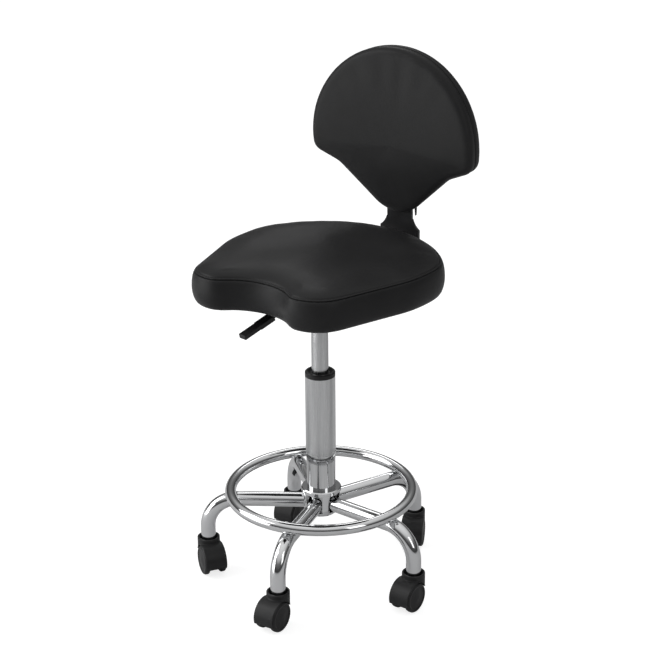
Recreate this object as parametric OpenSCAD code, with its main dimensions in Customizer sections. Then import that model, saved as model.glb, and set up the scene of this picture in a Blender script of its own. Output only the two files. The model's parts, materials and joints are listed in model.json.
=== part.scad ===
// Rolling stylist stool: chrome five-leg base with a foot ring and hooded twin-wheel casters,
// gas lift column, saddle-nosed seat, and a backrest that slides on a flat steel back bar.
// Origin: on the floor, under the column. +Z is up and the front of the seat faces -Y.
// Every size is in millimetres.

/* [Base] */
// Distance from the column axis to each caster stem
stem_circle_r = 193; // [185:1:215]
// Angle of the first leg about the column
first_leg_angle = -75.5; // [-100:1:-50]
// Outside diameter of the leg tubes
leg_d = 25; // [23:0.5:27]
// Wall of the leg tubes
leg_wall = 1.5; // [1:0.1:2]
// Height of the leg tubes' straight centreline
leg_z = 132; // [130:0.5:146]
// Bend radius of each leg
leg_bend_r = 52; // [42:1:54]
// Radius of the foot ring's centreline
ring_r = 152; // [140:1:156]
// Outside diameter of the foot ring's tube
ring_d = 18.5; // [16:0.5:20]
// Diameter of the hub's top rim
hub_d = 67; // [64:1:72]

/* [Casters] */
// Diameter of each caster wheel
wheel_d = 50; // [46:1:50]
// Width of each caster wheel
wheel_w = 10; // [9:0.5:12]
// Distance from the stem axis to the wheel axle
trail = 16; // [15:0.5:18]
// Width of the hood over both wheels
hood_w = 37; // [34:0.5:40]
// Diameter of the hood's collar around the leg end
collar_d = 38; // [37:0.5:39]

/* [Gas lift] */
// Diameter of the outer tube
column_d = 50; // [49:0.5:52]
// Height of the outer tube's top edge
column_top_z = 358.5; // [350:0.5:370]
// Diameter of the pressure cylinder that slides in the outer tube
cylinder_d = 28; // [27:0.5:28.5]

/* [Seat] */
// Width of the seat cushion
seat_w = 378; // [360:1:400]
// Depth of the seat cushion, front lobes to back edge
seat_l = 378; // [360:1:400]
// Height of the seat cushion's top above the floor
seat_top_z = 573; // [570:1:590]
// Depth of the dip in the front edge
dip_depth = 30; // [20:1:36]

/* [Backrest] */
// Width of the backrest
back_w = 314; // [300:1:330]
// Height of the backrest's lower tip above the floor
back_tip_z = 582; // [580:1:594]
// Thickness of the padded backrest
back_t = 48; // [46:1:52]
// Forward lean of the backrest and the upper back bar
back_lean = 2; // [0:0.5:6]
// Width of the back bar where it enters the backrest
bar_w = 49; // [44:1:50]
// Width of the back bar below its flare
bar_foot_w = 77; // [72:1:80]

/* [Hidden] */

leg_count = 5;
// Swivel angle of each caster about its own stem: where its wheels trail
trail_angle = [-88, -92, -65, -84, -33];

chrome = [0.80, 0.81, 0.83];
steel = [0.55, 0.56, 0.58];
black_steel = [0.08, 0.08, 0.09];
black_plastic = [0.11, 0.11, 0.12];
grey_plastic = [0.35, 0.35, 0.36];
black_vinyl = [0.13, 0.13, 0.14];
plywood = [0.72, 0.56, 0.36];

running_gap = 0.05;
fine = 96;
medium = 48;
eps = 0.01;

leg_r = leg_d / 2;
leg_end_z = 56;
socket_flange_t = 2.4;
socket_depth = 20;
ring_z = leg_z + leg_r + ring_d / 2 - 0.8;
hub_top_z = leg_z + 27.5;
hub_rim_t = 8;
hub_wall_r = hub_d / 2 - 2.5;
hub_bottom_z = leg_z - leg_r - 4.5;

wheel_r = wheel_d / 2;
wheel_gap = 20;
wheel_y = wheel_gap / 2 + wheel_w / 2;
hood_r = wheel_r + 2.5;
hood_inner_r = wheel_r + 0.9;
web_w = wheel_gap - 2;
collar_top_z = 60.5;
collar_floor_z = 52.9;
collar_bottom_z = 36;
stem_r = 5.5;
stem_bottom_z = 30;
axle_r = 3;

column_r = column_d / 2;
column_wall = 2.2;
column_bottom_z = hub_bottom_z - 3;
column_step_z = 221.5;
column_band_h = 8;
taper_top_r = column_r - 0.7;
taper_bottom_r = column_r - 1.6;
bush_flange_t = 8;
bush_bottom_z = column_top_z - 72;
cylinder_r = cylinder_d / 2;
cylinder_bottom_z = 240;
cylinder_top_z = 486;
cylinder_taper_z = 420;
cylinder_tip_r = cylinder_r - 1.4;
cylinder_bore_r = 12.5;
gland_t = 14;
head_t = 44;
piston_top_z = 296;
piston_t = 12;
rod_r = 4;
clip_t = 1.6;
bearing_z = column_bottom_z + 3;

board_z = 505.5;
board_t = 12;
cushion_bottom_z = board_z + 1;
pan_bottom_z = 477.5;
pan_t = 3;
pan_l = 104;
pan_w = 118;
flange_l = 116;
flange_w = 176;
pan_bolt_x = 74;
pan_bolt_y = 46;
socket_r = 18;
socket_bottom_z = 460.5;
socket_top_z = 485.5;
pin_r = 3;
pin_bottom_z = 469.5;
pin_top_z = 493.7;
lever_angle = 11;
lever_z = pin_top_z + 0.4;
lever_t = 4;
lever_arm_w = 11;
lever_pivot_r = 30;
lever_bend_r = 70;
lever_droop = 16;
lever_reach = 98;
grip_start = 34;
pivot_pin_r = 2.5;

bar_t = 5;
bar_y = 233;
bar_front_y = 78;
bar_bend_r = 12;
bar_lean_z = 568.5;
bar_top_z = 735;
bar_shoulder_z = 576.5;
bar_flare_r = 30;
back_curve_r = 1200;
back_front = -24;
board_front = -14;
board_rear = -4.7;
cover_rear = back_front + back_t;
back_disc_z = back_tip_z + 124;

function leg_angle(i) = first_leg_angle + i * 360 / leg_count;

module at_leg(i) {
    rotate([0, 0, leg_angle(i)])
        children();
}

module at_caster(i) {
    rotate([0, 0, leg_angle(i)])
        translate([stem_circle_r, 0, 0])
            rotate([0, 0, trail_angle[i] - leg_angle(i)])
                children();
}

module ring(r_out, r_in, h) {
    difference() {
        cylinder(r = r_out, h = h, $fn = fine);
        translate([0, 0, -1])
            cylinder(r = r_in, h = h + 2, $fn = fine);
    }
}

// A bar of round section that runs out from the hub, bends down and ends above the caster
module leg_path(r, start, end_z) {
    bend_x = stem_circle_r - leg_bend_r;
    translate([start, 0, leg_z])
        rotate([0, 90, 0])
            cylinder(r = r, h = bend_x - start, $fn = medium);
    translate([bend_x, 0, leg_z - leg_bend_r])
        rotate([90, 0, 0])
            rotate_extrude(angle = 90, $fn = fine)
                translate([leg_bend_r, 0])
                    circle(r = r, $fn = medium);
    translate([stem_circle_r, 0, end_z])
        cylinder(r = r, h = leg_z - leg_bend_r - end_z, $fn = medium);
}

module leg(i) {
    hub_end = column_r + 1;
    color(chrome)
        at_leg(i)
            difference() {
                leg_path(leg_r, hub_end, leg_end_z);
                leg_path(leg_r - leg_wall, hub_end - 1, leg_end_z - 1);
            }
}

// A cup with a rim: the column's taper sits in its bore, and a leg enters each window
module base_hub() {
    color(chrome)
        difference() {
            rotate_extrude($fn = fine)
                polygon([
                    [taper_bottom_r - 4, hub_bottom_z],
                    [hub_wall_r - 4, hub_bottom_z],
                    [hub_wall_r, hub_bottom_z + 9],
                    [hub_wall_r, hub_top_z - hub_rim_t],
                    [hub_d / 2, hub_top_z - hub_rim_t + 1.5],
                    [hub_d / 2, hub_top_z - 1.5],
                    [hub_d / 2 - 1.5, hub_top_z],
                    [taper_bottom_r - 4, hub_top_z]
                ]);
            column_bore();
            for (i = [0:leg_count - 1])
                at_leg(i)
                    hub_window();
        }
}

module column_bore() {
    rotate_extrude($fn = fine)
        polygon([
            [0, hub_bottom_z - 1],
            [taper_r(hub_bottom_z - 1) + running_gap, hub_bottom_z - 1],
            [taper_r(hub_top_z + 1) + running_gap, hub_top_z + 1],
            [0, hub_top_z + 1]
        ]);
}

function taper_r(z) =
    taper_bottom_r + (taper_top_r - taper_bottom_r) * (z - column_bottom_z)
    / (column_step_z - column_band_h - column_bottom_z);

module hub_window() {
    window_w = leg_d + 0.2;
    window_bottom = leg_z - leg_r - 0.1;
    translate([15, -window_w / 2, window_bottom])
        cube([30, window_w, hub_top_z - hub_rim_t - 1 - window_bottom]);
}

module foot_ring() {
    color(chrome)
        translate([0, 0, ring_z])
            rotate_extrude($fn = 180)
                translate([ring_r, 0])
                    difference() {
                        circle(r = ring_d / 2, $fn = medium);
                        circle(r = ring_d / 2 - leg_wall, $fn = medium);
                    }
}

module leg_end_sockets() {
    color(black_plastic)
        for (i = [0:leg_count - 1])
            at_caster(i)
                difference() {
                    union() {
                        translate([0, 0, leg_end_z - socket_flange_t])
                            cylinder(r = leg_r, h = socket_flange_t, $fn = medium);
                        translate([0, 0, leg_end_z - eps])
                            cylinder(r = leg_r - leg_wall - running_gap, h = socket_depth, $fn = medium);
                    }
                    translate([0, 0, leg_end_z - socket_flange_t - 1])
                        cylinder(r = stem_r + running_gap, h = socket_depth, $fn = medium);
                }
}

module caster_stems() {
    color(steel)
        for (i = [0:leg_count - 1])
            at_caster(i)
                translate([0, 0, stem_bottom_z])
                    cylinder(r = stem_r, h = leg_end_z + socket_depth - 4 - stem_bottom_z, $fn = medium);
}

module wheel_axis() {
    translate([trail, 0, wheel_r])
        rotate([90, 0, 0])
            children();
}

// Hood: a drum over both wheels with a web between them, and a collar around the leg end
module caster_hood(i) {
    color(black_plastic)
        at_caster(i)
            difference() {
                union() {
                    wheel_axis()
                        cylinder(r = hood_r, h = hood_w, center = true, $fn = fine);
                    translate([0, 0, collar_bottom_z])
                        cylinder(d = collar_d, h = collar_top_z - collar_bottom_z, $fn = fine);
                }
                for (side = [-1, 1])
                    wheel_axis()
                        translate([0, 0, side * (web_w / 2 + 20)])
                            cylinder(r = hood_inner_r, h = 40, center = true, $fn = fine);
                hood_open_sides();
                wheel_axis()
                    cylinder(r = axle_r + 0.02, h = web_w + 2, center = true, $fn = medium);
                translate([0, 0, collar_floor_z])
                    cylinder(r = collar_d / 2 - 3.5, h = 20, $fn = medium);
                translate([0, 0, stem_bottom_z - 0.5])
                    cylinder(r = stem_r + running_gap, h = collar_top_z - stem_bottom_z, $fn = medium);
            }
}

module hood_open_sides() {
    floor_gap = 11;
    front_gap = 36.5;
    translate([-100, -50, -20])
        cube([200, 100, floor_gap + 20]);
    for (side = [-1, 1])
        translate([-50 + trail - 14, side * (web_w / 2 + 20) - 20, -20])
            cube([50, 40, front_gap + 20]);
}

module caster_axle(i) {
    color(steel)
        at_caster(i)
            wheel_axis()
                cylinder(r = axle_r, h = 2 * wheel_y + wheel_w - 5, center = true, $fn = medium);
}

// One wheel about its own axis: domed outer face, rounded tread, blind bore for the axle
module wheel_solid() {
    bore_h = wheel_w - 2;
    rotate_extrude($fn = fine)
        polygon([
            [axle_r + running_gap, 0],
            [wheel_r - 1.2, 0],
            [wheel_r, 1.2],
            [wheel_r, wheel_w - 3],
            [wheel_r - 2, wheel_w - 1],
            [wheel_r - 5, wheel_w - 0.6],
            [wheel_r - 6, wheel_w - 1.6],
            [10, wheel_w - 0.6],
            [0, wheel_w],
            [0, bore_h],
            [axle_r + running_gap, bore_h]
        ]);
}

module caster_wheel(i, side) {
    color(black_plastic)
        at_caster(i)
            translate([trail, side * wheel_gap / 2, wheel_r])
                rotate([-90 * side, 0, 0])
                    wheel_solid();
}

module lift_outer_tube() {
    inner_r = column_r - column_wall;
    lower_inner_r = taper_bottom_r - 2;
    color(chrome)
        rotate_extrude($fn = fine)
            polygon([
                [rod_r + 1, column_bottom_z],
                [taper_bottom_r, column_bottom_z],
                [taper_top_r, column_step_z - column_band_h],
                [column_r - 0.3, column_step_z - column_band_h + 1],
                [column_r - 0.3, column_step_z],
                [column_r, column_step_z + 1.5],
                [column_r, column_top_z],
                [inner_r, column_top_z],
                [inner_r, column_step_z + 6],
                [lower_inner_r, column_step_z],
                [lower_inner_r, bearing_z],
                [rod_r + 1, bearing_z]
            ]);
}

module lift_guide_bush() {
    color(black_plastic)
        rotate_extrude($fn = fine)
            polygon([
                [cylinder_r + running_gap, bush_bottom_z],
                [column_r - column_wall - running_gap, bush_bottom_z],
                [column_r - column_wall - running_gap, column_top_z],
                [column_r, column_top_z],
                [column_r, column_top_z + bush_flange_t - 1.5],
                [column_r - 1.5, column_top_z + bush_flange_t],
                [column_r - 4, column_top_z + bush_flange_t],
                [cylinder_r + 2, column_top_z + bush_flange_t - 3],
                [cylinder_r + running_gap, column_top_z + bush_flange_t - 3]
            ]);
}

module lift_thrust_bearing() {
    color(steel)
        translate([0, 0, bearing_z + 0.05])
            ring(taper_bottom_r - 5, rod_r + running_gap, 7);
}

module lift_piston_rod() {
    color(steel)
        difference() {
            union() {
                translate([0, 0, column_bottom_z - 6])
                    cylinder(r = rod_r, h = piston_top_z - column_bottom_z + 6, $fn = medium);
                translate([0, 0, bearing_z + 7.1])
                    cylinder(r = taper_bottom_r - 6, h = 4, $fn = fine);
            }
            translate([0, 0, column_bottom_z - 3.2])
                ring(rod_r + 1, rod_r - 1, clip_t + 0.4);
        }
}

module lift_piston() {
    color(steel)
        translate([0, 0, piston_top_z - piston_t])
            ring(cylinder_bore_r - running_gap, rod_r + 0.01, piston_t);
}

module lift_retaining_clip() {
    color(steel)
        translate([0, 0, column_bottom_z - 3])
            ring(10, rod_r - 0.9, clip_t);
}

// Gas cylinder: open bore below, gland at the bottom, tapered solid head with a pin bore
module lift_pressure_cylinder() {
    color(chrome)
        rotate_extrude($fn = fine)
            polygon([
                [rod_r + running_gap, cylinder_bottom_z],
                [cylinder_r, cylinder_bottom_z],
                [cylinder_r, cylinder_taper_z],
                [cylinder_tip_r, cylinder_top_z],
                [pin_r + running_gap, cylinder_top_z],
                [pin_r + running_gap, pin_bottom_z - 6],
                [0, pin_bottom_z - 6],
                [0, cylinder_top_z - head_t],
                [cylinder_bore_r, cylinder_top_z - head_t],
                [cylinder_bore_r, cylinder_bottom_z + gland_t],
                [rod_r + running_gap, cylinder_bottom_z + gland_t]
            ]);
}

module lift_release_pin() {
    color(steel)
        translate([0, 0, pin_bottom_z])
            cylinder(r = pin_r, h = pin_top_z - pin_bottom_z, $fn = medium);
}

module taper_socket() {
    r_at_bottom = head_taper_r(socket_bottom_z) + running_gap;
    r_at_top = head_taper_r(socket_top_z) + running_gap;
    color(black_steel)
        rotate_extrude($fn = fine)
            polygon([
                [r_at_bottom, socket_bottom_z],
                [socket_r, socket_bottom_z],
                [socket_r, socket_top_z],
                [r_at_top, socket_top_z]
            ]);
}

function head_taper_r(z) =
    cylinder_r + (cylinder_tip_r - cylinder_r) * (z - cylinder_taper_z)
    / (cylinder_top_z - cylinder_taper_z);

module at_lever() {
    rotate([0, 0, -90 - lever_angle])
        children();
}

// Pressed tray under the seat board: flange, four bolt holes, lever slot, hole for the socket
module seat_mechanism_pan() {
    color(black_steel)
        difference() {
            union() {
                translate([-flange_w / 2, -flange_l / 2, board_z - pan_t])
                    cube([flange_w, flange_l, pan_t]);
                translate([-pan_w / 2, -pan_l / 2, pan_bottom_z])
                    cube([pan_w, pan_l, board_z - pan_bottom_z]);
            }
            translate([-pan_w / 2 + pan_t, -pan_l / 2 + pan_t, pan_bottom_z + pan_t])
                cube([pan_w - 2 * pan_t, pan_l - 2 * pan_t, 40]);
            translate([0, 0, pan_bottom_z - 1])
                cylinder(r = socket_r + running_gap, h = pan_t + 2, $fn = fine);
            at_lever()
                translate([35, -11, lever_z - 2])
                    cube([40, 22, board_z - pan_t - lever_z + 2]);
            at_pan_bolts()
                translate([0, 0, board_z - pan_t - 1])
                    cylinder(r = 3.3, h = pan_t + 2, $fn = medium);
        }
}

// U-shaped bracket on the tray's floor that holds the lever's pivot pin
module lever_bracket() {
    bracket_l = 16;
    outer_w = 18;
    inner_w = 12;
    foot_t = 2.5;
    floor_z = pan_bottom_z + pan_t;
    color(black_steel)
        at_lever()
            difference() {
                translate([lever_pivot_r - bracket_l / 2, -outer_w / 2, floor_z])
                    cube([bracket_l, outer_w, lever_z + 8 - floor_z]);
                translate([lever_pivot_r - bracket_l, -inner_w / 2, floor_z + foot_t])
                    cube([2 * bracket_l, inner_w, 40]);
                at_lever_pivot()
                    cylinder(r = pivot_pin_r + 0.02, h = 40, center = true, $fn = medium);
            }
}

module at_lever_pivot() {
    translate([lever_pivot_r, 0, lever_z + lever_t / 2])
        rotate([90, 0, 0])
            children();
}

module at_pan_bolts() {
    for (x = [-pan_bolt_x, pan_bolt_x])
        for (y = [-pan_bolt_y, pan_bolt_y])
            translate([x, y, 0])
                children();
}

module bolt(shank_r, shank_l, head_r, head_h, under_z) {
    translate([0, 0, under_z - head_h])
        cylinder(r = head_r, h = head_h, $fn = 6);
    translate([0, 0, under_z - eps])
        cylinder(r = shank_r, h = shank_l, $fn = medium);
}

module mechanism_bolts() {
    color(steel)
        at_pan_bolts()
            bolt(3, 13, 5.5, 4, board_z - pan_t - 0.05);
}

module lever_pivot_pin() {
    color(steel)
        at_lever()
            at_lever_pivot()
                cylinder(r = pivot_pin_r, h = 21, center = true, $fn = medium);
}

module droop_frame() {
    translate([lever_bend_r, 0, lever_z + lever_t / 2])
        rotate([0, lever_droop, 0])
            children();
}

// Flat arm with an eye for the pivot pin and one bend, cut from its side profile
module lever_arm() {
    inner_end = 8;
    color(black_steel)
        at_lever()
            translate([0, 0, lever_z + lever_t / 2])
                rotate([90, 0, 0])
                    linear_extrude(height = lever_arm_w, center = true)
                        difference() {
                            union() {
                                translate([-inner_end, -lever_t / 2])
                                    square([lever_bend_r + inner_end, lever_t]);
                                translate([lever_bend_r, 0])
                                    rotate(-lever_droop)
                                        translate([-1, -lever_t / 2])
                                            square([lever_reach - 7, lever_t]);
                                translate([lever_pivot_r, 0])
                                    circle(r = pivot_pin_r + 1.4, $fn = medium);
                            }
                            translate([lever_pivot_r, 0])
                                circle(r = pivot_pin_r + running_gap, $fn = medium);
                        }
}

// Flat plastic paddle pushed over the arm's outer end, a little wider at its inner half
module lever_grip() {
    grip_w = 15;
    grip_t = 8;
    color(black_plastic)
        at_lever()
            droop_frame()
                difference() {
                    union() {
                        translate([grip_start, -grip_w / 2 - 0.8, -grip_t / 2 - 0.5])
                            cube([30, grip_w + 1.6, grip_t + 1]);
                        translate([grip_start, -grip_w / 2, -grip_t / 2])
                            cube([lever_reach - grip_start, grip_w, grip_t]);
                    }
                    translate([0, -lever_arm_w / 2 - 0.1, -lever_t / 2 - 0.1])
                        cube([lever_reach - 8, lever_arm_w + 0.2, lever_t + 0.2]);
                }
}

// Plan of the seat: two front lobes with a dip between them, wide thighs, round back
module seat_plan() {
    half_w = seat_w / 2;
    front_y = -181;
    lobe_r = 62;
    thigh_r = 90;
    dip_r = 95;
    back_arc_r = 207;
    offset(r = 30)
        offset(delta = -30)
            difference() {
                intersection() {
                    hull() {
                        for (side = [-1, 1]) {
                            translate([side * (half_w - 103), front_y + lobe_r])
                                circle(r = lobe_r, $fn = 40);
                            translate([side * (half_w - thigh_r - 20), 15])
                                circle(r = thigh_r + 20, $fn = 48);
                            translate([side * (half_w - thigh_r), 60])
                                circle(r = thigh_r, $fn = 40);
                            translate([side * (half_w - thigh_r), 115])
                                circle(r = thigh_r, $fn = 40);
                        }
                    }
                    translate([0, front_y + seat_l - back_arc_r])
                        circle(r = back_arc_r, $fn = 72);
                    translate([-half_w, -300])
                        square([seat_w, 600]);
                }
                translate([0, front_y + dip_depth - dip_r])
                    circle(r = dip_r, $fn = 40);
            }
}

module seat_layer(inset, z, h) {
    translate([0, 0, z])
        linear_extrude(height = h)
            offset(delta = -inset)
                seat_plan();
}

module seat_board() {
    color(plywood)
        difference() {
            seat_layer(16, board_z, board_t);
            at_pan_bolts()
                translate([0, 0, board_z - 1])
                    cylinder(r = 3 + running_gap, h = board_t + 2, $fn = medium);
            at_bar_bolts()
                translate([0, 0, board_z - 1])
                    cylinder(r = 4 + running_gap, h = board_t + 2, $fn = medium);
        }
}

module seat_cushion() {
    color(black_vinyl)
        difference() {
            union() {
                seat_layer(7, cushion_bottom_z, 8);
                seat_layer(0, cushion_bottom_z + 7, 42);
                seat_layer(8, cushion_bottom_z + 48, 10);
                seat_layer(26, cushion_bottom_z + 57, seat_top_z - cushion_bottom_z - 57);
            }
            seat_layer(15.7, board_z - 5, board_t + 5.3);
        }
}

// Back bar: side profile (in Y and Z) cut to the flared front outline (in X and Z)
module back_bar() {
    color(black_steel)
        difference() {
            union() {
                intersection() {
                    rotate([90, 0, 90])
                        linear_extrude(height = 100, center = true)
                            back_bar_side();
                    bar_front_outline();
                }
                lean_frame()
                    translate([-bar_w / 2, bar_y, bar_lean_z - 0.3])
                        cube([bar_w, bar_t, bar_top_z - bar_lean_z]);
            }
            at_bar_bolts()
                translate([0, 0, board_z - bar_t - 1])
                    cylinder(r = 4.2, h = bar_t + 2, $fn = medium);
        }
}

module back_bar_side() {
    bend_y = bar_y - bar_bend_r;
    bend_z = board_z + bar_bend_r;
    translate([bar_front_y, board_z - bar_t])
        square([bend_y - bar_front_y, bar_t]);
    intersection() {
        translate([bend_y, bend_z])
            difference() {
                circle(r = bar_bend_r + bar_t, $fn = medium);
                circle(r = bar_bend_r, $fn = medium);
            }
        translate([bend_y, board_z - bar_t])
            square([40, bend_z - board_z + bar_t]);
    }
    translate([bar_y, bend_z])
        square([bar_t, bar_lean_z - bend_z]);
}

module bar_front_outline() {
    difference() {
        translate([-bar_foot_w / 2, 0, board_z - 20])
            cube([bar_foot_w, 300, bar_lean_z - board_z + 20]);
        for (side = [-1, 1])
            translate([side * (bar_w / 2 + bar_flare_r), bar_y, bar_shoulder_z])
                rotate([90, 0, 0])
                    cylinder(r = bar_flare_r, h = 60, center = true, $fn = fine);
    }
}

module at_bar_bolts() {
    for (place = [[-24, 95], [24, 95], [0, 150]])
        translate([place[0], place[1], 0])
            children();
}

module back_bar_bolts() {
    color(steel)
        at_bar_bolts()
            bolt(4, 16, 7, 5, board_z - bar_t - 0.05);
}

// Everything above the bar's lean line tips forward about that line
module lean_frame() {
    translate([0, bar_y, bar_lean_z])
        rotate([back_lean, 0, 0])
            translate([0, -bar_y, -bar_lean_z])
                children();
}

// Front view of the backrest: a disc with low shoulders that narrows to a round tip
module back_front_outline() {
    tip_r = 65;
    waist_w = 240;
    waist_h = 85;
    shoulder_drop = 96;
    shoulder_rise = 86;
    offset(r = 20, $fn = 40)
        offset(delta = -20)
            offset(r = -36, $fn = 72)
                offset(delta = 36)
                    union() {
                        intersection() {
                            translate([0, back_disc_z])
                                circle(r = back_w / 2, $fn = 64);
                            translate([0, back_disc_z - shoulder_drop])
                                polygon([
                                    [0, 0],
                                    [200, shoulder_rise],
                                    [200, 400],
                                    [-200, 400],
                                    [-200, shoulder_rise]
                                ]);
                        }
                        translate([0, back_tip_z])
                            hull() {
                                translate([0, tip_r])
                                    circle(r = tip_r, $fn = 48);
                                translate([-waist_w / 2, waist_h])
                                    square([waist_w, 8]);
                            }
                    }
}

// A curved slab of the backrest: offsets are measured back from the bar's middle plane
module back_slab(inset, front, rear) {
    mid_y = bar_y + bar_t / 2;
    intersection() {
        translate([0, mid_y + 100, 0])
            rotate([90, 0, 0])
                linear_extrude(height = 200)
                    offset(delta = -inset)
                        back_front_outline();
        translate([0, mid_y - back_curve_r, back_tip_z - 10])
            linear_extrude(height = 340)
                polygon(concat(
                    arc_points(back_curve_r + rear, 1),
                    arc_points(back_curve_r + front, -1)
                ));
    }
}

// Points of a shallow arc across the backrest, from one side to the other
function arc_points(r, way) =
    let (steps = 10, half_angle = asin(back_w * 0.6 / back_curve_r))
    [for (k = [0:steps]) let (a = way * half_angle * (1 - 2 * k / steps)) [r * sin(a), r * cos(a)]];

module back_cushion() {
    color(black_vinyl)
        lean_frame()
            difference() {
                union() {
                    back_slab(7, back_front, back_front + 8);
                    back_slab(0, back_front + 7, board_rear);
                }
                back_slab(13.7, board_front - 0.3, board_rear + 5);
            }
}

module back_board() {
    color(plywood)
        lean_frame()
            difference() {
                back_slab(14, board_front, board_rear);
                at_housing_screws()
                    rotate([90, 0, 0])
                        cylinder(r = 2 + running_gap, h = 40, center = true, $fn = medium);
            }
}

// Padded rear cover: a shallow shell with a slot at the bottom for the bar
module back_cover() {
    slot_w = 58;
    color(black_vinyl)
        lean_frame()
            difference() {
                union() {
                    back_slab(1, board_rear + 0.3, cover_rear - 7);
                    back_slab(8, cover_rear - 8, cover_rear);
                }
                translate([-44, bar_y + bar_t / 2 + board_rear - 1, back_tip_z + 20])
                    cube([88, cover_rear - board_rear - 8, 170]);
                translate([-slot_w / 2, bar_y + bar_t / 2 + board_rear - 1, back_tip_z - 40])
                    cube([slot_w, 18, 80]);
            }
}

// Housing that grips the bar: a sleeve with two pointed prongs behind the bar's edges
module height_lock_housing() {
    sleeve_w = 70;
    sleeve_z = back_tip_z + 24;
    sleeve_h = 90;
    fit_gap = 0.1;
    color(grey_plastic)
        lean_frame()
            difference() {
                union() {
                    translate([-sleeve_w / 2, bar_y + bar_t / 2 + board_rear + 0.8, sleeve_z])
                        cube([sleeve_w, 14, sleeve_h]);
                    for (side = [-1, 1])
                        translate([side * (bar_w / 2 + 2.5), bar_y + bar_t + 7, back_tip_z])
                            prong();
                }
                translate([-bar_w / 2 - fit_gap, bar_y - fit_gap, back_tip_z - 20])
                    cube([bar_w + 2 * fit_gap, bar_t + 2 * fit_gap, 200]);
                at_housing_screws()
                    rotate([90, 0, 0])
                        cylinder(r = 2.1, h = 40, center = true, $fn = medium);
            }
}

module prong() {
    prong_w = 2.5;
    prong_h = 30;
    point_w = 0.8;
    rotate([90, 0, 0])
        linear_extrude(height = 4)
            polygon([
                [-point_w / 2, -8],
                [point_w / 2, -8],
                [prong_w / 2, 4],
                [prong_w / 2, prong_h],
                [-prong_w / 2, prong_h],
                [-prong_w / 2, 4]
            ]);
}

module at_housing_screws() {
    for (side = [-1, 1])
        for (z = [back_tip_z + 36, back_tip_z + 102])
            translate([side * 30, bar_y, z])
                children();
}

module height_lock_screws() {
    head_y = bar_y + bar_t / 2 + board_rear + 15;
    color(steel)
        lean_frame()
            at_housing_screws()
                translate([0, head_y - bar_y, 0])
                    rotate([90, 0, 0])
                        union() {
                            translate([0, 0, -2])
                                cylinder(r = 4, h = 2, $fn = medium);
                            cylinder(r = 2, h = 20, $fn = medium);
                        }
}

base_hub();
leg(0);  // leg_1
leg(1);  // leg_2
leg(2);  // leg_3
leg(3);  // leg_4
leg(4);  // leg_5
foot_ring();
leg_end_sockets();
caster_stems();
lift_outer_tube();
lift_guide_bush();
lift_thrust_bearing();
lift_piston_rod();
lift_piston();
lift_retaining_clip();
lift_pressure_cylinder();
lift_release_pin();
seat_mechanism_pan();
taper_socket();
lever_bracket();
mechanism_bolts();
lever_pivot_pin();
lever_arm();
lever_grip();
seat_board();
seat_cushion();
back_bar();
back_bar_bolts();
back_board();
back_cushion();
back_cover();
height_lock_housing();
height_lock_screws();
caster_hood(0);  // caster_hood_1
caster_hood(1);  // caster_hood_2
caster_hood(2);  // caster_hood_3
caster_hood(3);  // caster_hood_4
caster_hood(4);  // caster_hood_5
caster_axle(0);  // caster_axle_1
caster_axle(1);  // caster_axle_2
caster_axle(2);  // caster_axle_3
caster_axle(3);  // caster_axle_4
caster_axle(4);  // caster_axle_5
caster_wheel(0, 1);  // left_wheel_1
caster_wheel(1, 1);  // left_wheel_2
caster_wheel(2, 1);  // left_wheel_3
caster_wheel(3, 1);  // left_wheel_4
caster_wheel(4, 1);  // left_wheel_5
caster_wheel(0, -1);  // right_wheel_1
caster_wheel(1, -1);  // right_wheel_2
caster_wheel(2, -1);  // right_wheel_3
caster_wheel(3, -1);  // right_wheel_4
caster_wheel(4, -1);  // right_wheel_5
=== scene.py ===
"""Looks for the rolling stylist stool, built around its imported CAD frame. Metres throughout."""

import json
import math

import bmesh
import bpy
import numpy as np
from mathutils import Matrix, Vector, noise
from mathutils.bvhtree import BVHTree
from mathutils.kdtree import KDTree


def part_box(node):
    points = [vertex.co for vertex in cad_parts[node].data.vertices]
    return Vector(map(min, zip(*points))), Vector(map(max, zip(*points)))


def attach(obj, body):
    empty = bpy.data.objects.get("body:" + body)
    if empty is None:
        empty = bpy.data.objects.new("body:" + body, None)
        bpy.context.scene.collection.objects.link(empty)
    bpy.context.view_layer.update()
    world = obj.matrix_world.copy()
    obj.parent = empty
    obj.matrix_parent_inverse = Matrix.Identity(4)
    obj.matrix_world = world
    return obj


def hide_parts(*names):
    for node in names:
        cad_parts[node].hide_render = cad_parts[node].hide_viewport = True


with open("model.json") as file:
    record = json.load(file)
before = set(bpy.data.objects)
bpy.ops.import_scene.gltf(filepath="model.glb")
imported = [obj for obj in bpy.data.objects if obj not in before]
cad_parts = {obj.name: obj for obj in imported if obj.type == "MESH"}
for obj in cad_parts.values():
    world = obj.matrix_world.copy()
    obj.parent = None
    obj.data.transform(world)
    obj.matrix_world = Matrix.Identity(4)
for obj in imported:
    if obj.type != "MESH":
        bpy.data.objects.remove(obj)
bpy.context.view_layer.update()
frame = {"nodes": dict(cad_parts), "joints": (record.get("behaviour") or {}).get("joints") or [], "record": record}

MM = 0.001

COLUMN_STEP = 109.5 * MM  # the swaged step, above the outer tube's foot
OUTLINE_POINTS = 360

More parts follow.
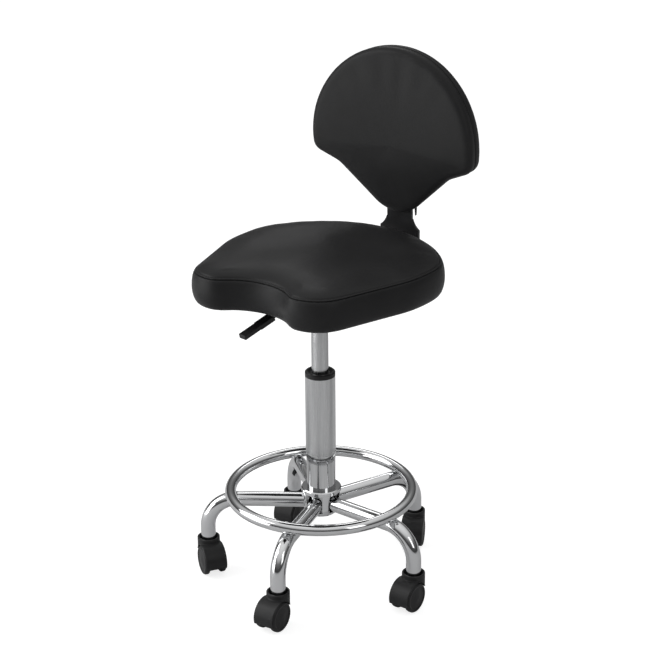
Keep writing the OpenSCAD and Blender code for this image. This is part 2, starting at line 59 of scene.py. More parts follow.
# The seat's pad: insets from its outline, heights above its foot, and the shape of its top
SEAM_ABOVE_BOARD = 40 * MM
SEAM_INSET = 6.4 * MM
BOARD_INSET = 15.6 * MM
BOARD_GAP = 0.4 * MM
SEAT_WALL_MM = [(15.4, 0.0), (14.5, -0.1), (11.5, 0.2), (9.0, 1.2), (6.8, 3.2), (4.6, 6.6), (2.9, 11),
                (1.7, 16), (0.9, 22), (0.8, 28), (1.1, 34), (1.8, 39.5), (2.8, 44), (3.9, 47.4),
                (4.8, 49.4), (5.6, 50.2), (6.2, 50.5), (7.6, 50.6), (9.2, 50.9)]
SEAT_TOP_ROWS_MM = (1.0, 2.0, 2.7, 3.4, 4.1, 4.8, 6.0, 8.5, 11.5, 15, 19)
STITCHED_ROW_MM = 3.4
CROWN_HEIGHT = 15 * MM
CROWN_WIDTH = 17 * MM
DISH_DEPTH = 8.0 * MM
DISH_ACROSS = 0.46  # of the seat's half width
RIDGE_HEIGHT = 2.0 * MM
MIDDLE_DIP = 5.0 * MM
REAR_RIM = 5.0 * MM
STITCH_INSET = 3.4 * MM
STITCH_GROOVE = 1.5 * MM
STITCH_LENGTH = 3.1 * MM
STITCH_PITCH = 4.3 * MM
STITCH_RADIUS = 0.42 * MM
PUCKER_PITCH = 2.1 * MM
PUCKER_DEPTH = 0.35 * MM

# The dust cover under the board
DUST_COVER_STAPLE_STEP = 12
DUST_COVER_INSET = 16.6 * MM
DUST_COVER_TOP = 0.15 * MM
DUST_COVER_UNDERSIDE = 0.4 * MM

# Cloth simulation of the pads
SWELL_VOXEL = 6 * MM
SWELL_FRAMES = 20
SEAT_PRESSURE, SEAT_SWELL_CAP, SEAT_RELAX = 3.0, 3.5 * MM, 12
BACK_PRESSURE, BACK_SWELL_CAP, BACK_RELAX = 2.5, 2.5 * MM, 60

# The backrest: offsets are from the curved middle plane of the bar, forwards negative
BACK_CURVE = 1.2
BAR_Y = 0.233
BAR_THICKNESS = 0.005
BAR_LEAN_Z = 0.5685
CUSHION_PLANE = -10.8 * MM
BOARD_FRONT = -14 * MM
BOARD_REAR = -4.7 * MM
BACK_FRONT = -24 * MM
BACK_REAR = 24 * MM
BACK_BOARD_INSET = 13.6 * MM
BACK_HELD_BEHIND = -12.5 * MM
TIP_TAPER = 120 * MM
BACK_FRONT_EDGE_MM = [(13.4, -5.0), (12.6, -4.8), (3.0, -4.8), (1.2, -4.9), (0.4, -5.5), (0.1, -7.0),
                      (-0.4, -10.0), (-0.7, -13.0), (-0.4, -15.8), (0.5, -18.2), (1.9, -20.3), (3.9, -22.1),
                      (6.6, -23.3), (9.8, -24.0)]
BACK_REAR_EDGE_MM = [(2.2, -4.2), (1.0, -3.9), (0.3, -2.9), (0.1, -0.5), (0.2, 2.5), (0.7, 5.8), (1.7, 9.4),
                     (3.3, 12.9), (5.5, 16.2), (8.4, 19.2), (12, 21.6), (16, 23.2)]

# The casters, and the moulded edges of hoods and lever
WHEEL_GAP = 20 * MM
WHEEL_WIDTH = 10 * MM
AXLE_RADIUS = 3.1 * MM
HOOD_LIP_Z = 16 * MM
WELD_DISTANCE = 0.00001
MOULD_VOXEL = 0.6 * MM

FLOOR_REACH = 30.0
FLOOR_GAP = 0.4 * MM

CAMERA_PLACE = (1.5126, -2.0819, 1.4114)
CAMERA_TARGET = (0.0169, 0.0121, 0.4327)
CAMERA_ROLL = -0.43
CAMERA_LENS = 92.03

record = frame["record"]
joints = {j["name"]: j for j in frame["joints"]}
scene = bpy.context.scene


# ---------------------------------------------------------------- materials

def new_material(name, color, roughness, metallic=0.0, specular=0.5, coat=0.0, coat_roughness=0.2):
    material = bpy.data.materials.new(name)
    material.use_nodes = True
    tree = material.node_tree
    shader = tree.nodes["Principled BSDF"]
    shader.inputs["Base Color"].default_value = (*color, 1)
    shader.inputs["Roughness"].default_value = roughness
    shader.inputs["Metallic"].default_value = metallic
    shader.inputs["Specular IOR Level"].default_value = specular
    shader.inputs["Coat Weight"].default_value = coat
    shader.inputs["Coat Roughness"].default_value = coat_roughness
    return material, tree, shader


def place(tree, stretch=(1, 1, 1)):
    """Object coordinates, which are the stool's own, stretched along an axis where a grain runs."""
    coordinates = tree.nodes.new("ShaderNodeTexCoord")
    mapping = tree.nodes.new("ShaderNodeMapping")
    mapping.inputs["Scale"].default_value = stretch
    tree.links.new(coordinates.outputs["Object"], mapping.inputs["Vector"])
    return mapping.outputs["Vector"]


def noise_texture(tree, where, scale, detail=3.0, roughness=0.5):
    node = tree.nodes.new("ShaderNodeTexNoise")
    node.inputs["Scale"].default_value = scale
    node.inputs["Detail"].default_value = detail
    node.inputs["Roughness"].default_value = roughness
    tree.links.new(where, node.inputs["Vector"])
    return node.outputs["Fac"]


def cells_texture(tree, where, scale, feature="F1"):
    node = tree.nodes.new("ShaderNodeTexVoronoi")
    node.feature = feature
    node.inputs["Scale"].default_value = scale
    tree.links.new(where, node.inputs["Vector"])
    return node.outputs["Distance"]


def spread(tree, value, low, high, start=0.3, end=0.7):
    """Maps a texture's value from start..end to low..high."""
    node = tree.nodes.new("ShaderNodeMapRange")
    node.inputs["From Min"].default_value = start
    node.inputs["From Max"].default_value = end
    node.inputs["To Min"].default_value = low
    node.inputs["To Max"].default_value = high
    tree.links.new(value, node.inputs["Value"])
    return node.outputs["Result"]


def two_colors(tree, value, first, second):
    node = tree.nodes.new("ShaderNodeMix")
    node.data_type = "RGBA"
    node.inputs["A"].default_value = (*first, 1)
    node.inputs["B"].default_value = (*second, 1)
    tree.links.new(value, node.inputs["Factor"])
    return node.outputs["Result"]


def tint(tree, shader, value, first, second):
    tree.links.new(two_colors(tree, value, first, second), shader.inputs["Base Color"])


def roughen(tree, shader, value, low, high):
    tree.links.new(spread(tree, value, low, high), shader.inputs["Roughness"])


def bumps(tree, shader, *layers):
    """Stacks bump layers of (height, depth in metres, strength) on the shader's normal."""
    normal = None
    for height, depth, strength in layers:
        node = tree.nodes.new("ShaderNodeBump")
        node.inputs["Distance"].default_value = depth
        node.inputs["Strength"].default_value = strength
        tree.links.new(height, node.inputs["Height"])
        if normal is not None:
            tree.links.new(normal, node.inputs["Normal"])
        normal = node.outputs["Normal"]
    tree.links.new(normal, shader.inputs["Normal"])


def leatherette():
    material, tree, shader = new_material("black_leatherette", (0.02, 0.02, 0.0205), 0.44, specular=0.13)
    where = place(tree)
    pebble = cells_texture(tree, where, 820)
    crease = cells_texture(tree, where, 310, "DISTANCE_TO_EDGE")
    cloudy = noise_texture(tree, where, 9, 4)
    fine = noise_texture(tree, where, 1500, 2)
    tint(tree, shader, spread(tree, cloudy, 0, 1), (0.0175, 0.0175, 0.018), (0.023, 0.023, 0.0235))
    roughen(tree, shader, cloudy, 0.36, 0.45)
    bumps(tree, shader, (spread(tree, crease, 0, 1, 0, 0.12), 0.00012, 0.35), (pebble, 0.00018, 0.45),
          (fine, 0.00004, 0.3))
    return material


def thread():
    material, tree, shader = new_material("black_thread", (0.018, 0.018, 0.019), 0.62)
    twist = noise_texture(tree, place(tree, (1, 1, 3)), 1800, 2)
    tint(tree, shader, twist, (0.006, 0.006, 0.0065), (0.016, 0.016, 0.0165))
    bumps(tree, shader, (twist, 0.0001, 0.5))
    return material


def chrome():
    material, tree, shader = new_material("chrome_plate", (0.72, 0.725, 0.735), 0.07, metallic=1.0)
    where = place(tree)
    haze = noise_texture(tree, where, 14, 4)
    smear = noise_texture(tree, place(tree, (1, 1, 0.2)), 260, 3)
    roughen(tree, shader, haze, 0.045, 0.11)
    tint(tree, shader, haze, (0.67, 0.675, 0.685), (0.76, 0.765, 0.77))
    bumps(tree, shader, (smear, 0.00002, 0.12))
    return material


def column_chrome(step_z):
    """The outer tube: satin above the swaged step, polished on the taper below it. Its colour carries broad
    vertical bands of painted reflection, light and dark, with the drawn grain laid over them.
    """
    material, tree, shader = new_material("column_chrome", (0.6, 0.605, 0.61), 0.15, metallic=1.0)
    where = place(tree)
    split = tree.nodes.new("ShaderNodeSeparateXYZ")
    tree.links.new(where, split.inputs["Vector"])
    height = spread(tree, split.outputs["Z"], 0.06, 0.24, step_z - 2 * MM, step_z + 3 * MM)
    drawn = noise_texture(tree, place(tree, (1, 1, 0.03)), 900, 3)
    uneven = tree.nodes.new("ShaderNodeMath")
    uneven.operation = "ADD"
    tree.links.new(height, uneven.inputs[0])
    tree.links.new(spread(tree, drawn, -0.03, 0.04), uneven.inputs[1])
    tree.links.new(uneven.outputs["Value"], shader.inputs["Roughness"])
    # Painted reflection: broad vertical light and dark bands in the base colour stand in for the surroundings
    # reflected in the tube
    painted_reflection_bands = noise_texture(tree, place(tree, (1, 1, 0.03)), 75, 2)
    grain_and_painted_reflection = tree.nodes.new("ShaderNodeMath")
    grain_and_painted_reflection.operation = "MULTIPLY"
    tree.links.new(spread(tree, painted_reflection_bands, 0.25, 1.0), grain_and_painted_reflection.inputs[0])
    tree.links.new(spread(tree, drawn, 0.7, 1.0), grain_and_painted_reflection.inputs[1])
    # Colour from the painted reflection bands times the drawn grain
    tint(tree, shader, grain_and_painted_reflection.outputs["Value"], (0.34, 0.345, 0.35), (0.74, 0.745, 0.75))
    bumps(tree, shader, (drawn, 0.00002, 0.25))
    return material


def plated_steel():
    material, tree, shader = new_material("plated_steel", (0.55, 0.56, 0.57), 0.3, metallic=1.0)
    where = place(tree)
    grain = noise_texture(tree, place(tree, (1, 1, 0.1)), 700, 3)
    roughen(tree, shader, grain, 0.22, 0.4)
    tint(tree, shader, noise_texture(tree, where, 60, 3), (0.46, 0.47, 0.48), (0.62, 0.63, 0.64))
    bumps(tree, shader, (grain, 0.00002, 0.3))
    return material


def powder_coat():
    material, tree, shader = new_material("black_powder_coat", (0.014, 0.014, 0.015), 0.36, coat=0.2,
                                          coat_roughness=0.25)
    where = place(tree)
    peel = noise_texture(tree, where, 420, 2)
    patch = noise_texture(tree, where, 22, 3)
    tint(tree, shader, spread(tree, patch, 0, 1), (0.011, 0.011, 0.012), (0.019, 0.019, 0.020))
    roughen(tree, shader, patch, 0.3, 0.44)
    bumps(tree, shader, (peel, 0.00008, 0.3))
    return material


def moulded_plastic(name, dark, light, roughness, grain_scale):
    """Spark-eroded plastic: fine grain, faint flow marks."""
    material, tree, shader = new_material(name, dark, roughness, specular=0.3)
    where = place(tree)
    grain = noise_texture(tree, where, grain_scale, 3, 0.6)
    flow = noise_texture(tree, where, 35, 3)
    tint(tree, shader, spread(tree, flow, 0, 1), dark, light)
    roughen(tree, shader, flow, roughness - 0.05, roughness + 0.08)
    bumps(tree, shader, (grain, 0.00006, 0.35))
    return material


def birch_plywood():
    """Grain on the faces and thin plies along the edge."""
    material, tree, shader = new_material("birch_plywood", (0.62, 0.46, 0.28), 0.6)
    figure = noise_texture(tree, place(tree, (1, 12, 1)), 34, 5)
    plies = tree.nodes.new("ShaderNodeTexWave")
    plies.bands_direction = "Z"
    plies.inputs["Scale"].default_value = 110
    plies.inputs["Distortion"].default_value = 0.4
    tree.links.new(place(tree), plies.inputs["Vector"])
    tint(tree, shader, spread(tree, figure, 0, 1), (0.50, 0.35, 0.19), (0.70, 0.54, 0.34))
    bumps(tree, shader, (plies.outputs["Fac"], 0.0001, 0.15), (figure, 0.0001, 0.25))
    return material


def spunbond():
    """Non-woven fabric: pressed fibres with a grid of fine bond points."""
    material, tree, shader = new_material("black_spunbond", (0.016, 0.016, 0.017), 0.85, specular=0.15)
    where = place(tree)
    fibres = noise_texture(tree, place(tree, (1, 3, 1)), 900, 4, 0.7)
    bonds = cells_texture(tree, where, 620)
    tint(tree, shader, fibres, (0.010, 0.010, 0.011), (0.024, 0.024, 0.025))
    bumps(tree, shader, (fibres, 0.00008, 0.5), (bonds, 0.0001, 0.4))
    return material


def make_materials():
    step_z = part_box("lift_outer_tube")[0].z + COLUMN_STEP
    return {
        "chrome": chrome(),
        "column": column_chrome(step_z),
        "bright_steel": plated_steel(),
        "black_steel": powder_coat(),
        "black_plastic": moulded_plastic("black_moulding", (0.011, 0.011, 0.0115),
                                         (0.017, 0.017, 0.0175), 0.4, 900),
        "caster_plastic": moulded_plastic("caster_moulding", (0.014, 0.014, 0.0145),
                                          (0.021, 0.021, 0.0215), 0.46, 1100),
        "wheel_nylon": moulded_plastic("wheel_moulding", (0.012, 0.012, 0.0125),
                                       (0.018, 0.018, 0.0185), 0.4, 1000),
        "plywood": birch_plywood(),
        "black_vinyl": leatherette(),
        "thread": thread(),
        "spunbond": spunbond(),
    }


# ---------------------------------------------------------------- mesh helpers

def link_object(name, data):
    obj = bpy.data.objects.new(name, data)
    scene.collection.objects.link(obj)
    return obj


def add_object(name, vertices, faces, material, smooth=True):
    mesh = bpy.data.meshes.new(name)
    mesh.from_pydata([tuple(v) for v in vertices], [], faces)
    mesh.validate()
    mesh.materials.append(material)
    if smooth:
        mesh.shade_smooth()
    return link_object(name, mesh)


def face_outward(obj, close=False):
    """Turns a mesh's faces outwards, and first closes its open edges if asked."""
    bm = bmesh.new()
    bm.from_mesh(obj.data)
    if close:
        bmesh.ops.holes_fill(bm, edges=[e for e in bm.edges if e.is_boundary], sides=0)
    bmesh.ops.recalc_face_normals(bm, faces=bm.faces)
    bm.to_mesh(obj.data)
    bm.free()


def bands(rings):
    """Faces between neighbouring closed rings of vertex numbers, with triangles at a pole."""
    faces = []
    for low, high in zip(rings, rings[1:]):
        count = len(low)
        for k in range(count):
            corners = [low[k], low[(k + 1) % count], high[(k + 1) % count], high[k]]
            face = list(dict.fromkeys(corners))
            if len(face) > 2:
                faces.append(face)
    return faces


def walk(points):
    """A closed line's points with the first one again at the end, and how far along it each lies."""
    points = np.array(points)
    steps = np.linalg.norm(np.roll(points, -1, 0) - points, axis=1)
    return np.vstack([points, points[:1]]), np.concatenate([[0], np.cumsum(steps)])


def apply_modifiers(obj):
    bpy.context.view_layer.update()
    evaluated = obj.evaluated_get(bpy.context.evaluated_depsgraph_get())
    mesh = bpy.data.meshes.new_from_object(evaluated)
    obj.modifiers.clear()
    obj.data = mesh
    return obj


def coordinates(obj):
    return np.array([v.co for v in obj.data.vertices], float)


def lathe(name, profile, material, steps=96):
    """Turns (radius, height) points about Z. A point with no radius is a pole."""
    vertices = []
    rings = []
    for radius, height in profile:
        if radius < 1e-6:
            rings.append([len(vertices)] * steps)
            vertices.append((0, 0, height))
            continue
        rings.append(list(range(len(vertices), len(vertices) + steps)))
        for k in range(steps):
            a = math.tau * k / steps
            vertices.append((radius * math.cos(a), radius * math.sin(a), height))
    return add_object(name, vertices, bands(rings), material)


def stitches(name, points, normals, length, pitch, radius, material):
    """A row of short thread stitches along a closed line on a surface."""
    closed, reach = walk(points)
    count = int(reach[-1] / pitch)
    normals = np.vstack([normals, normals[:1]])
    sides, rings = 6, [(-0.5, 0.35), (-0.3, 1.0), (0.3, 1.0), (0.5, 0.35)]
    vertices, faces = [], []
    for k in range(count):
        middle = (k + 0.5) * reach[-1] / count
        ends = [np.array([np.interp(middle + s * length, reach, closed[:, i]) for i in range(3)])
                for s in (-0.5, 0.5)]
        along = Vector(ends[1] - ends[0]).normalized()
        up = Vector([np.interp(middle, reach, normals[:, i]) for i in range(3)]).normalized()
        side = along.cross(up).normalized()
        centre = Vector((ends[0] + ends[1]) / 2) + up * radius * 0.35
        first = len(vertices)
        for shift, scale in rings:
            for j in range(sides):
                a = math.tau * j / sides
                vertices.append(centre + along * shift * length
                                + radius * scale * (math.cos(a) * side + math.sin(a) * up))
        for r in range(len(rings) - 1):
            for j in range(sides):
                low, high = first + r * sides, first + (r + 1) * sides
                faces.append((low + j, low + (j + 1) % sides, high + (j + 1) % sides, high + j))
        faces.append([first + j for j in reversed(range(sides))])
        faces.append([first + (len(rings) - 1) * sides + j for j in range(sides)])
    return add_object(name, vertices, faces, material)


# ---------------------------------------------------------------- padded forms

def resample(points, count, smoothing):
    """The same closed outline with evenly spaced points, its small facets smoothed."""
    closed, reach = walk(points)
    at = np.linspace(0, reach[-1], count, endpoint=False)
    even = np.stack([np.interp(at, reach, closed[:, i]) for i in range(2)], 1)
    smooth = blurred(even, smoothing)
    return smooth + blurred(even - smooth, smoothing)


def blurred(points, times):
    for _ in range(times):
        points = (np.roll(points, 1, 0) + 2 * points + np.roll(points, -1, 0)) / 4
    return points


def inward_normals(outline):
    along = np.roll(outline, -1, 0) - np.roll(outline, 1, 0)
    along /= np.linalg.norm(along, axis=1)[:, None]
    return np.stack([-along[:, 1], along[:, 0]], 1)


class Pad:
    """A cushion with one closed outline: rings of points step in from it and fill its two faces."""

    def __init__(self, outline, centre, place_point):
        self.outline = outline
        self.inward = inward_normals(outline)
        self.centre = np.array(centre)
        self.place_point = place_point
        self.vertices = []
        self.rings = []

    def plan(self, inset):
        return self.outline + self.inward * inset

    def ring(self, inset, height):
        """One ring, at an inset from the outline. height is a number, or a function of place and inset."""
        return self._add(self.plan(inset), height, inset)

    def fill(self, inset, height, count):
        """Rings from the last inset to the middle, then the middle point."""
        edge = self.plan(inset)
        reach = np.linalg.norm(edge - self.centre, axis=1)
        for k in range(1, count):
            share = 1 - k / count
            self._add(self.centre + (edge - self.centre) * share, height, inset + reach * (1 - share))
        self._add(self.centre[None, :].repeat(len(self.outline), 0), height, inset + reach, pole=True)

    def _add(self, plan, height, inset, pole=False):
        depth = np.broadcast_to(inset, (len(plan),))
        first = len(self.vertices)
        rows = range(1) if pole else range(len(plan))
        for k in rows:
            h = height(plan[k], depth[k]) if callable(height) else height
            self.vertices.append(self.place_point(plan[k], h))
        self.rings.append([first] * len(plan) if pole else list(range(first, first + len(plan))))
        return len(self.rings) - 1

    def build(self, name, material):
        obj = add_object(name, self.vertices, bands(self.rings), material)
        face_outward(obj)
        return obj


def relaxed(obj, values, times):
    """Averages a value per vertex with its neighbours' values, so that no voxel step shows."""
    edges = np.array([e.vertices[:] for e in obj.data.edges])
    degree = np.bincount(edges.ravel(), minlength=len(values))[:, None]
    for _ in range(times):
        total = np.zeros_like(values)
        np.add.at(total, edges[:, 0], values[edges[:, 1]])
        np.add.at(total, edges[:, 1], values[edges[:, 0]])
        values = (values + total / degree) / 2
    return values


def swell(obj, held, pressure, cap, relax):
    """Inflates a remeshed copy with Cloth and gives its capped movement back to obj's own vertices.
    held says, for each vertex place, how firmly the seams and the board hold it, from 0 to 1."""
    copy = obj.copy()
    copy.data = obj.data.copy()
    scene.collection.objects.link(copy)
    remesh = copy.modifiers.new("remesh", "REMESH")
    remesh.mode = "VOXEL"
    remesh.voxel_size = SWELL_VOXEL
    apply_modifiers(copy)
    before = coordinates(copy)
    group = copy.vertex_groups.new(name="held")
    for index, co in enumerate(before):
        group.add([index], held(co), "REPLACE")
    cloth = copy.modifiers.new("cloth", "CLOTH")
    cloth.settings.quality = 6
    cloth.settings.use_pressure = True
    cloth.settings.uniform_pressure_force = pressure
    cloth.settings.tension_stiffness = 25
    cloth.settings.compression_stiffness = 25
    cloth.settings.bending_stiffness = 2
    cloth.settings.effector_weights.gravity = 0
    cloth.settings.vertex_group_mass = "held"
    cloth.collision_settings.use_collision = False
    cloth.point_cache.frame_end = SWELL_FRAMES
    for number in range(1, SWELL_FRAMES + 1):
        scene.frame_set(number)
    evaluated = copy.evaluated_get(bpy.context.evaluated_depsgraph_get())
    moved = np.array([v.co for v in evaluated.data.vertices], float) - before
    size = np.linalg.norm(moved, axis=1)
    moved *= (cap * np.tanh(size / cap) / np.maximum(size, 1e-9))[:, None]
    tree = KDTree(len(before))
    for index, co in enumerate(before):
        tree.insert(co, index)
    tree.balance()
    shifts = np.zeros((len(obj.data.vertices), 3))
    for index, vertex in enumerate(obj.data.vertices):
        near = tree.find_n(vertex.co, 8)
        weights = np.array([1 / (d + 0.002) for _, _, d in near])
        shifts[index] = (moved[[i for _, i, _ in near]] * weights[:, None]).sum(0) / weights.sum()
    shifts = relaxed(obj, shifts, relax)
    for index, vertex in enumerate(obj.data.vertices):
        vertex.co += Vector(shifts[index])
    bpy.data.objects.remove(copy)
    scene.frame_set(1)


# ---------------------------------------------------------------- seat

def ray_outline(node, centre, place_ray, count=240):
    """The outline of a CAD node as seen from a centre in its plan, by rays from outside."""
    mesh = frame["nodes"][node].data
    tree = BVHTree.FromPolygons([v.co for v in mesh.vertices], [p.vertices for p in mesh.polygons])
    far = 0.5
    points = []
    for k in range(count):
        a = math.tau * k / count
        way = np.array([math.cos(a), math.sin(a)])
        hit = np.array(centre) + way * 0.15
        for _ in range(3):
            start, direction = place_ray(np.array(centre) + far * way, -way, hit)
            found = tree.ray_cast(start, direction)
            if found[0] is None:
                break
            hit = np.array(centre) + (far - found[3]) * way
        points.append(hit)
    return points


def bump_at(x, y, x0, y0, wide, deep):
    return math.exp(-((x - x0) / wide) ** 2 / 2 - ((y - y0) / deep) ** 2 / 2)


def build_seat(materials):
    low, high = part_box("seat_cushion")
    board_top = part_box("seat_board")[1].z
    bottom = low.z + 0.1 * MM
    seam_z = board_top + SEAM_ABOVE_BOARD
    mid_z = (low.z + seam_z) / 2
    centre = ((low.x + high.x) / 2, low.y + 0.53 * (high.y - low.y))
    rough = ray_outline("seat_cushion", centre,
                        lambda p, d, hit: (Vector((p[0], p[1], mid_z)), Vector((d[0], d[1], 0))))
    crisp = resample(rough, OUTLINE_POINTS, 14)
    round_rear = np.clip((crisp[:, 1] + 0.06) / 0.08, 0, 1)[:, None]
    outline = crisp + round_rear * (resample(rough, OUTLINE_POINTS, 110) - crisp)
    half_w = (high.x - low.x) / 2
    rear = high.y

    def top(plan, inset):
        """Height of the top panel: a crown, two thigh dishes with a ridge between, a dip, a low rear rim."""
        x, y = plan
        depth = max(0.0, inset - SEAM_INSET)
        fullness = 1 - math.exp(-depth / CROWN_WIDTH)
        h = CROWN_HEIGHT * fullness
        h -= fullness * DISH_DEPTH * (bump_at(x, y, -DISH_ACROSS * half_w, -0.035, 0.052, 0.07)
                                      + bump_at(x, y, DISH_ACROSS * half_w, -0.035, 0.052, 0.07))
        h += fullness * RIDGE_HEIGHT * bump_at(x, y, 0, -0.09, 0.028, 0.05)
        h -= fullness * MIDDLE_DIP * bump_at(x, y, 0, 0.05, 0.07, 0.05)
        h += fullness * REAR_RIM * max(0.0, (y - 0.02) / (rear - 0.02)) ** 2
        h -= STITCH_GROOVE * math.exp(-((depth - STITCH_INSET) / (0.8 * MM)) ** 2)
        return seam_z + 1.0 * MM + h

    pad = Pad(outline, centre, lambda plan, h: (plan[0], plan[1], h))
    pad.fill(BOARD_INSET, board_top + BOARD_GAP, 4)
    pad.rings.reverse()
    pad.ring(BOARD_INSET, board_top + BOARD_GAP)
    for inset, height in SEAT_WALL_MM:
        pad.ring(inset * MM, bottom + height * MM)
    groove = len(pad.rings) - 1
    pad.ring(7.6 * MM, bottom + 51.5 * MM)
    pad.ring(SEAM_INSET + 0.1 * MM, seam_z + 1.0 * MM)
    rows = {}
    for inset in SEAT_TOP_ROWS_MM:
        rows[inset] = pad.ring(SEAM_INSET + inset * MM, top)
    pad.fill(SEAM_INSET + SEAT_TOP_ROWS_MM[-1] * MM, top, 36)
    seat = pad.build("seat_pad", materials["black_vinyl"])

    plan_tree = KDTree(len(outline))
    for index, p in enumerate(outline):
        plan_tree.insert((p[0], p[1], 0), index)
    plan_tree.balance()

    def held(co):
        """The sewn seam, the board and the stapled lower edge hold the cover."""
        from_seam = abs(co[2] - seam_z)
        near_edge = plan_tree.find((co[0], co[1], 0))[2] < 12 * MM
        sewn = math.exp(-(from_seam * 0.6 / (5 * MM)) ** 2) if from_seam < 6 * MM and near_edge else 0.0
        under = co[2] < bottom + 7 * MM
        inside = co[2] < board_top + 2 * MM and abs(co[0]) < half_w - 30 * MM and abs(co[1]) < 0.14
        return 1.0 if under or inside else min(1.0, sewn)

    swell(seat, held, SEAT_PRESSURE, SEAT_SWELL_CAP, SEAT_RELAX)
    pucker(seat, pad, groove, seam_z)
    finish_pad(seat, "seat", "seat_cushion")
    sewn_row = pad.rings[rows[STITCHED_ROW_MM]]
    normals = [seat.data.vertices[i].normal[:] for i in sewn_row]
    points = [seat.data.vertices[i].co[:] for i in sewn_row]
    row = stitches("seat_top_stitching", points, normals, STITCH_LENGTH, STITCH_PITCH, STITCH_RADIUS,
                   materials["thread"])
    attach(row, "seat")
    build_dust_cover(materials, outline)


def build_dust_cover(materials, outline):
    """The non-woven sheet stapled under the board: it sags a little between staples and mechanism."""
    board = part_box("seat_board")[0].z
    edge = outline + inward_normals(outline) * DUST_COVER_INSET
    centre = edge.mean(0)
    vertices, faces, rows = [], [], 24
    for layer in (DUST_COVER_TOP, DUST_COVER_UNDERSIDE):
        for row in range(rows):
            share = 1 - row / rows
            for k, p in enumerate(centre + (edge - centre) * share):
                between = 0.5 - 0.5 * math.cos(math.tau * k / DUST_COVER_STAPLE_STEP)
                sag = 0.5 * MM * between * share ** 12 + 0.9 * MM * math.sin(math.pi * share) ** 2
                vertices.append((p[0], p[1], board - layer - sag))
        vertices.append((centre[0], centre[1], board - layer))
    count = len(edge)
    block = rows * count + 1
    for first, flip in ((0, 1), (block, -1)):
        for row in range(rows):
            for k in range(count):
                here, after = first + row * count + k, first + row * count + (k + 1) % count
                if row == rows - 1:
                    faces.append((here, after, first + block - 1)[::flip])
                else:
                    faces.append((here, after, after + count, here + count)[::flip])
    for k in range(count):
        faces.append((k, block + k, block + (k + 1) % count, (k + 1) % count))
    sheet = add_object("dust_cover", vertices, faces, materials["spunbond"])
    face_outward(sheet)
    after = np.roll(edge, -1, 0)
    area = 0.5 * abs(np.dot(edge[:, 0], after[:, 1]) - np.dot(edge[:, 1], after[:, 0]))
    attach(sheet, "seat")
    build_staples(materials, outline, board)


def build_staples(materials, outline, board):
    """Flat wire staples along the dust cover's edge, where it touches the board."""
    line = outline + inward_normals(outline) * (DUST_COVER_INSET + 4 * MM)
    vertices, faces = [], []
    for k in range(0, len(line), DUST_COVER_STAPLE_STEP):
        along = Vector((*(line[(k + 1) % len(line)] - line[k - 1]), 0)).normalized()
        side = Vector((-along.y, along.x, 0))
        middle = Vector((line[k][0], line[k][1], board - 0.75 * MM))
        first = len(vertices)
        for step, depth in ((-4.6, -0.6), (-4.2, 0.0), (4.2, 0.0), (4.6, -0.6)):
            for across, up in ((-0.6, -0.25), (0.6, -0.25), (0.6, 0.25), (-0.6, 0.25)):
                vertices.append(middle + along * step * MM + side * across * MM
                                + Vector((0, 0, up - depth)) * MM)
        for r in range(3):
            for j in range(4):
                low, high = first + 4 * r, first + 4 * (r + 1)
                faces.append((low + j, low + (j + 1) % 4, high + (j + 1) % 4, high + j))
        faces.append((first + 3, first + 2, first + 1, first))
        faces.append((first + 12, first + 13, first + 14, first + 15))
    staples = add_object("dust_cover_staples", vertices, faces, materials["bright_steel"], smooth=False)
    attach(staples, "seat")


def pucker(obj, pad, groove, seam_z):
    """Small gathers beside the seam where it turns tightly."""
    outline = pad.outline
    along = np.roll(outline, -1, 0) - outline
    heading = np.unwrap(np.arctan2(along[:, 1], along[:, 0]))
    turn = np.abs(np.roll(heading, -6) - np.roll(heading, 6))
    turn = np.minimum(turn, math.tau - turn)
    length = np.linalg.norm(along, axis=1).sum() / len(outline)
    for number, ring in enumerate(pad.rings):
        away = abs(number - groove)
        if away == 0 or away > 6:
            continue
        for k, index in enumerate(ring):
            gather = min(1.0, turn[k] / 0.5)
            wave = math.sin(k * length / PUCKER_PITCH + 2.0 * noise.noise(Vector((k * 0.21, 0, 1))))
            vertex = obj.data.vertices[index]
            fade = math.exp(-away / 2.2)
            vertex.co += vertex.normal * PUCKER_DEPTH * gather * wave * fade
    obj.data.update()


def finish_pad(obj, body, node):
    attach(obj, body)
    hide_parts(node)


# ---------------------------------------------------------------- backrest

class BackFrame:
    """The backrest's own frame: it leans about a line across the bar, and curves round the sitter's back."""

    def __init__(self):
        axis = Vector(joints["backrest_height"]["axis"])
        self.lean = math.atan2(-axis.y, axis.z)
        self.pivot = Vector((0, BAR_Y, BAR_LEAN_Z))
        self.turn = Matrix.Rotation(self.lean, 3, "X")
        self.middle = BAR_Y + BAR_THICKNESS / 2

    def depth_at(self, x, offset):
        return self.middle - BACK_CURVE + math.sqrt((BACK_CURVE + offset) ** 2 - x * x)

    def out(self, point):
        return self.turn @ (Vector(point) - self.pivot) + self.pivot

    def direction(self, way):
        return self.turn @ Vector(way)

    def put(self, plan, offset):
        return self.out((plan[0], self.depth_at(plan[0], offset), plan[1]))


def build_back(materials):
    own = BackFrame()
    low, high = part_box("back_cushion")
    centre = (0.0, low.z + 0.42 * (high.z - low.z))

    def place_ray(point, way, hit):
        y = own.depth_at(hit[0], CUSHION_PLANE)
        return own.out((point[0], y, point[1])), own.direction((way[0], 0, way[1]))

    outline = resample(ray_outline("back_cushion", centre, place_ray), OUTLINE_POINTS, 4)
    build_back_front(materials, own, outline, centre)
    build_back_rear(materials, own, outline, centre)


